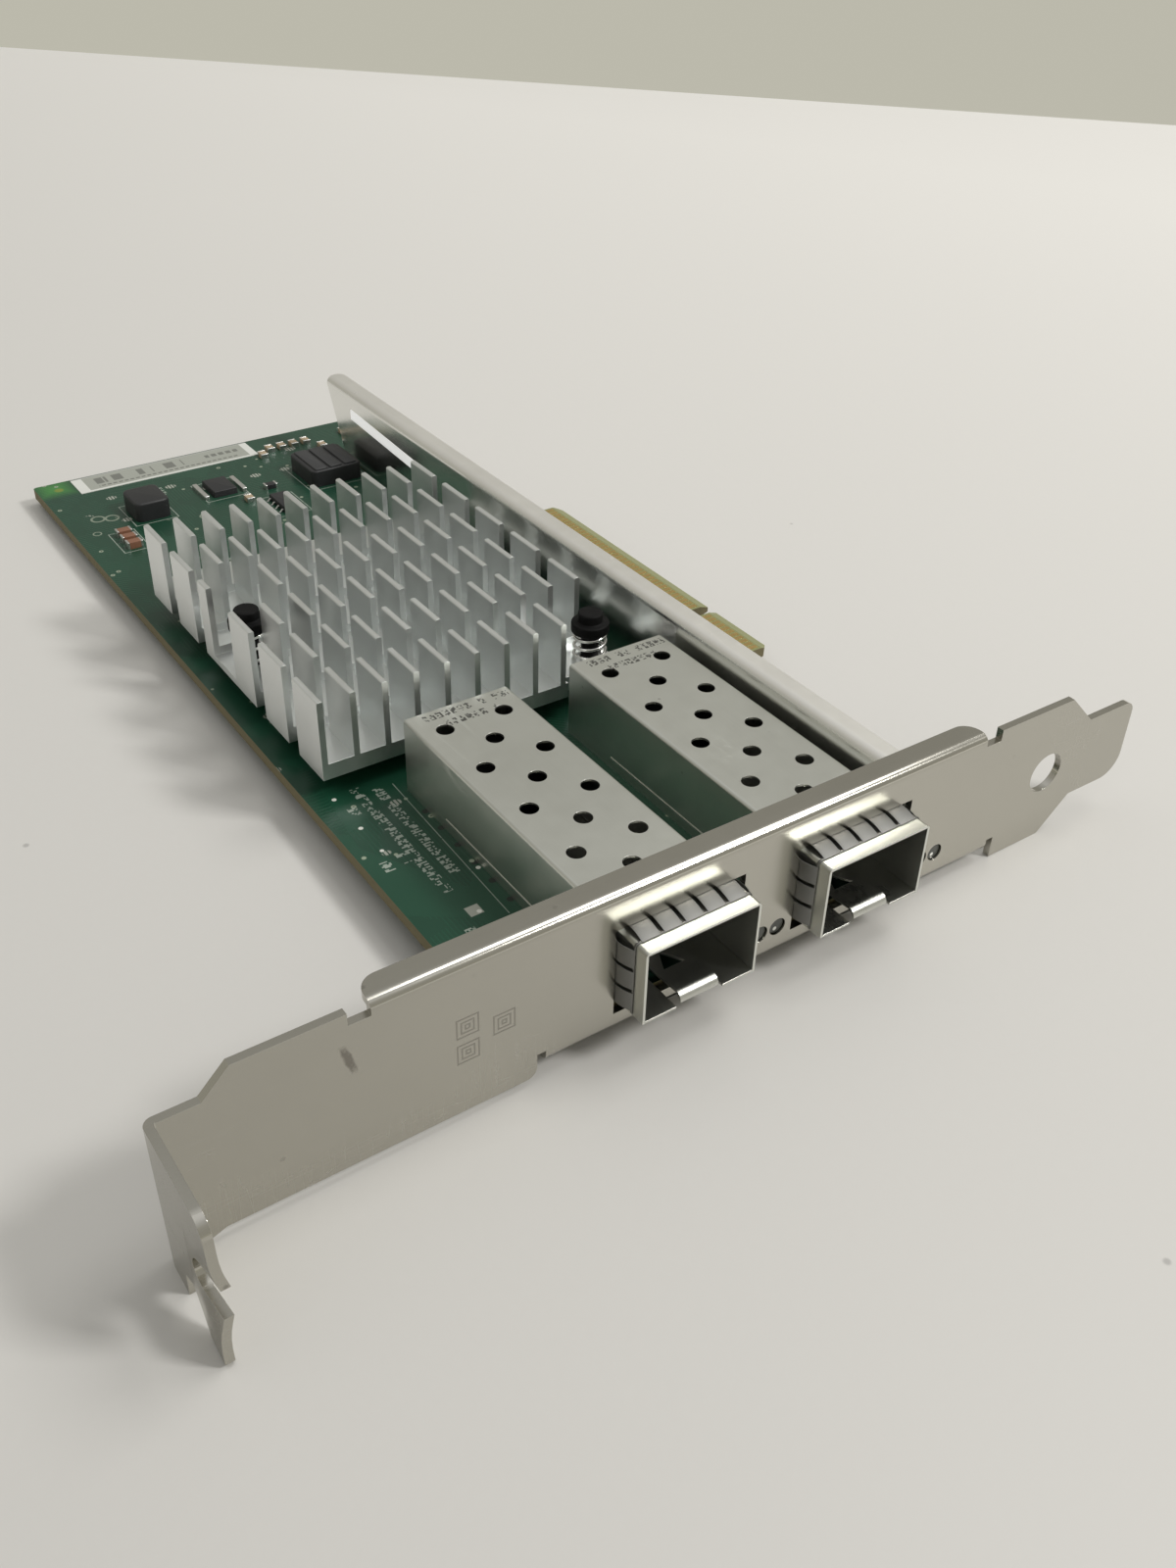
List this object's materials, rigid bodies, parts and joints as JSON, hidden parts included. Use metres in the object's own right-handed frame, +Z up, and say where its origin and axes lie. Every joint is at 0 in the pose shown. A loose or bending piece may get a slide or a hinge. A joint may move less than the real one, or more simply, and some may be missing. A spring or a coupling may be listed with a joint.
{
  "type": "network interface card",
  "caption": "Low expansion card with a full-height bracket, transceiver cages, a pin-fin heatsink held by sprung pins, a side rail and an edge connector.",
  "frame": {"origin": "centre of the connector key at the edge connector's tip, on the board's component side", "axes": "+X towards the edge connector's tip, +Y from the bracket to the card's far end, +Z up from the component side"},
  "size_m": [0.1202, 0.1598, 0.0202],
  "materials": {
    "bracket_steel": "satin tinned steel",
    "screw_steel": "satin",
    "solder_mask": "green solder mask over glass laminate",
    "contact_gold": "gold plated",
    "cage_nickel": "satin nickel",
    "cage_floor": "satin nickel",
    "collar_spring": "bright tinned spring sheet",
    "socket_plastic": "black moulded",
    "sink_aluminium": "satin",
    "pad_grey": "soft",
    "chip_black": "moulded",
    "pin_plastic": "black moulded",
    "spring_steel": "bright wire",
    "rail_steel": "satin tinned steel",
    "strip_white": "white strip",
    "lamp_clear": "clear plastic light guides",
    "inductor_black": "moulded",
    "inductor_grey": "moulded",
    "terminal_tin": "tinned",
    "capacitor_brown": "ceramic body with tinned ends",
    "capacitor_pale": "ceramic body with tinned ends",
    "label_paper": "printed label"
  },
  "bodies": {
    "root": {"bracket": "bracket_steel", "bracket_screws": "screw_steel", "circuit_board": "solder_mask", "edge_contacts_front": "contact_gold", "edge_contacts_back": "contact_gold", "cage_shell_left": "cage_nickel", "cage_shell_right": "cage_nickel", "cage_base_left": "cage_floor", "cage_base_right": "cage_floor", "collar_left": "collar_spring", "collar_right": "collar_spring", "socket_left": "socket_plastic", "socket_right": "socket_plastic", "heatsink": "sink_aluminium", "thermal_pad": "pad_grey", "controller_chip": "chip_black", "pin_left": "pin_plastic", "pin_right": "pin_plastic", "spring_left": "spring_steel", "spring_right": "spring_steel", "side_rail": "rail_steel", "rail_strip": "strip_white", "port_lamps": "lamp_clear", "power_inductor": "inductor_black", "small_inductor": "inductor_grey", "regulator": "chip_black", "regulator_bars": "terminal_tin", "memory_chip": "chip_black", "diode": "chip_black", "brown_capacitors": "capacitor_brown", "pale_capacitors": "capacitor_pale", "label_strip": "label_paper"}
  },
  "joints": []
}
